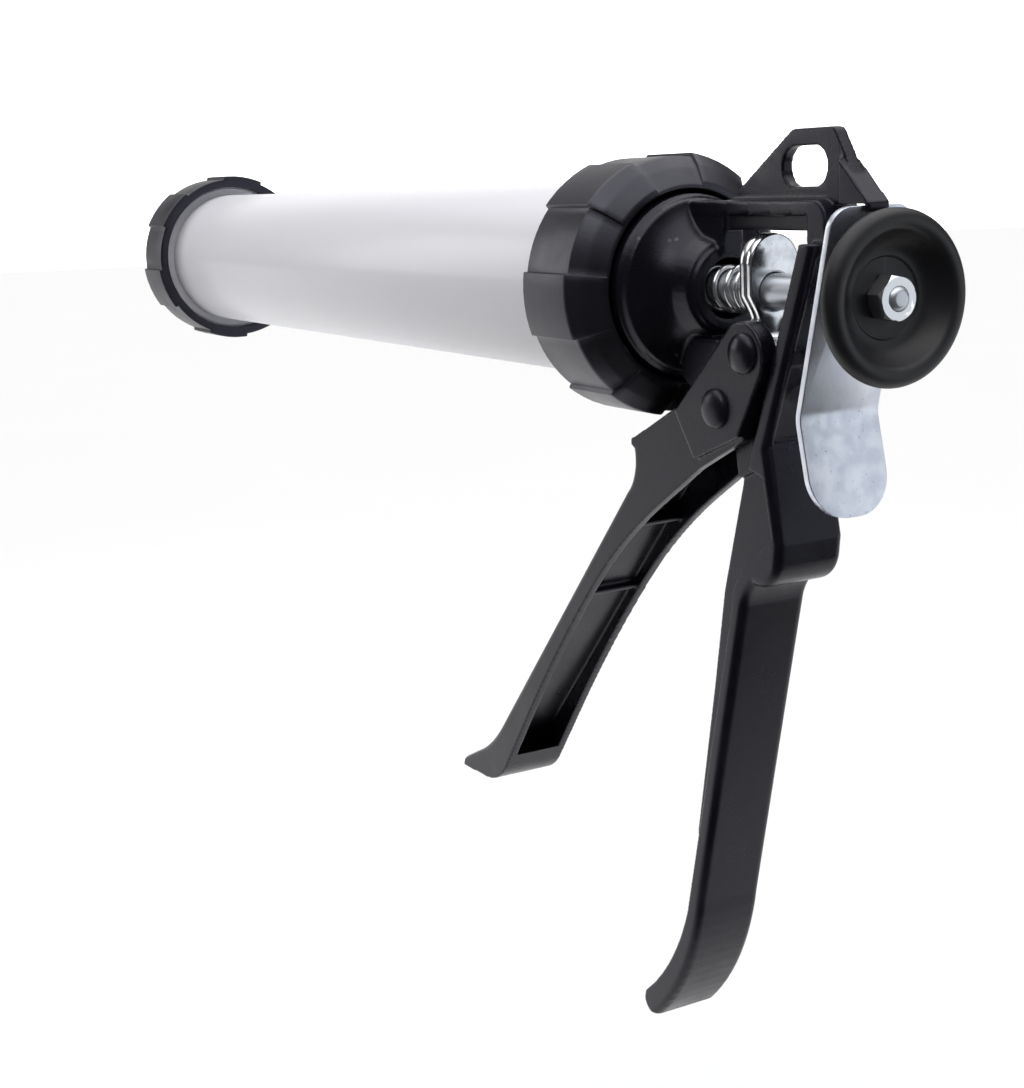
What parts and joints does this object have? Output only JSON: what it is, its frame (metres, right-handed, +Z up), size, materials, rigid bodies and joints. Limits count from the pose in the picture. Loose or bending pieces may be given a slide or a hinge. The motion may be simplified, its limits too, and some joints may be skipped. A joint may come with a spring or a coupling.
{
  "type": "caulking gun",
  "caption": "Foil-pack caulking gun: closed white barrel between two black screw rings, cast frame and grip, hinged trigger, push rod with knob and release lever.",
  "frame": {"origin": "centre of the nozzle's mouth, on the axis of the rod and the barrel", "axes": "+X forward along the barrel's axis, the way sealant leaves; +Y to the gun's left; +Z up, with the grip hanging down"},
  "size_m": [0.5527, 0.0716, 0.2562],
  "materials": {
    "barrel_coat": "satin",
    "black_casting": "satin",
    "nozzle_plastic": "satin",
    "rod_steel": "satin",
    "black_plastic": "matte",
    "bright_steel": "polished",
    "piston_plastic": "matte",
    "zinc_steel": "satin",
    "black_steel": "satin",
    "spring_steel": "polished"
  },
  "bodies": {
    "handle_body": {"frame": "black_casting", "pivot_pin": "black_steel"},
    "rear_ring_body": {"rear_ring": "black_casting"},
    "barrel_body": {"barrel_tube": "barrel_coat", "rear_collar": "barrel_coat", "front_collar": "barrel_coat"},
    "nozzle_body": {"nozzle": "nozzle_plastic"},
    "front_ring_body": {"front_ring": "black_casting"},
    "rod_body": {"rod": "rod_steel", "knob": "black_plastic", "knob_nut": "bright_steel", "piston_cup": "piston_plastic", "piston_plate": "zinc_steel", "piston_washer": "zinc_steel", "piston_nut": "bright_steel"},
    "trigger_body": {"trigger": "black_casting", "drive_pin": "black_steel"},
    "roller_body": {"drive_roller": "bright_steel"},
    "plates_body": {"drive_plate_front": "bright_steel", "drive_plate_rear": "bright_steel", "return_spring": "spring_steel"},
    "lever_body": {"release_lever": "zinc_steel", "release_spring": "spring_steel"}
  },
  "joints": [
    {"name": "rear_ring_turn", "type": "hinge", "parent": "handle_body", "child": "rear_ring_body", "pos_m": [-0.45065, 0, 0], "axis": [1, 0, 0], "range_deg": [0, 1080]},
    {"name": "barrel_advance", "type": "slide", "parent": "handle_body", "child": "barrel_body", "axis": [1, 0, 0], "range_m": [0, 0.0091]},
    {"name": "nozzle_advance", "type": "slide", "parent": "barrel_body", "child": "nozzle_body", "axis": [1, 0, 0], "range_m": [0, 0.0091]},
    {"name": "front_ring_turn", "type": "hinge", "parent": "nozzle_body", "child": "front_ring_body", "pos_m": [-0.09465, 0, 0], "axis": [1, 0, 0], "range_deg": [0, 1080]},
    {"name": "rod_stroke", "type": "slide", "parent": "handle_body", "child": "rod_body", "axis": [1, 0, 0], "range_m": [-0.33, 0]},
    {"name": "trigger_squeeze", "type": "hinge", "parent": "handle_body", "child": "trigger_body", "pos_m": [-0.49655, 0, -0.0293], "axis": [0, 1, 0], "range_deg": [0, 28], "stiffness_Nm_per_rad": 0.6, "springref_deg": -28.65},
    {"name": "roller_spin", "type": "hinge", "parent": "trigger_body", "child": "roller_body", "pos_m": [-0.5087, 0, -0.0144], "axis": [0, 1, 0], "continuous": true},
    {"name": "plates_advance", "type": "slide", "parent": "handle_body", "child": "plates_body", "axis": [1, 0, 0], "range_m": [0, 0.0092], "deforming": ["return_spring"]},
    {"name": "release_press", "type": "hinge", "parent": "handle_body", "child": "lever_body", "pos_m": [-0.54165, 0, 0.0208], "axis": [0, -1, 0], "range_deg": [0, 5], "stiffness_Nm_per_rad": 0.5, "springref_deg": -17.19, "deforming": ["release_spring"]}
  ],
  "couplings": [
    {"joint": "barrel_advance", "follows": "rear_ring_turn", "m_per_rad": 0.00047746},
    {"joint": "nozzle_advance", "follows": "front_ring_turn", "m_per_rad": 0.00047746},
    {"joint": "plates_advance", "follows": "trigger_squeeze", "m_per_rad": 0.0173}
  ]
}
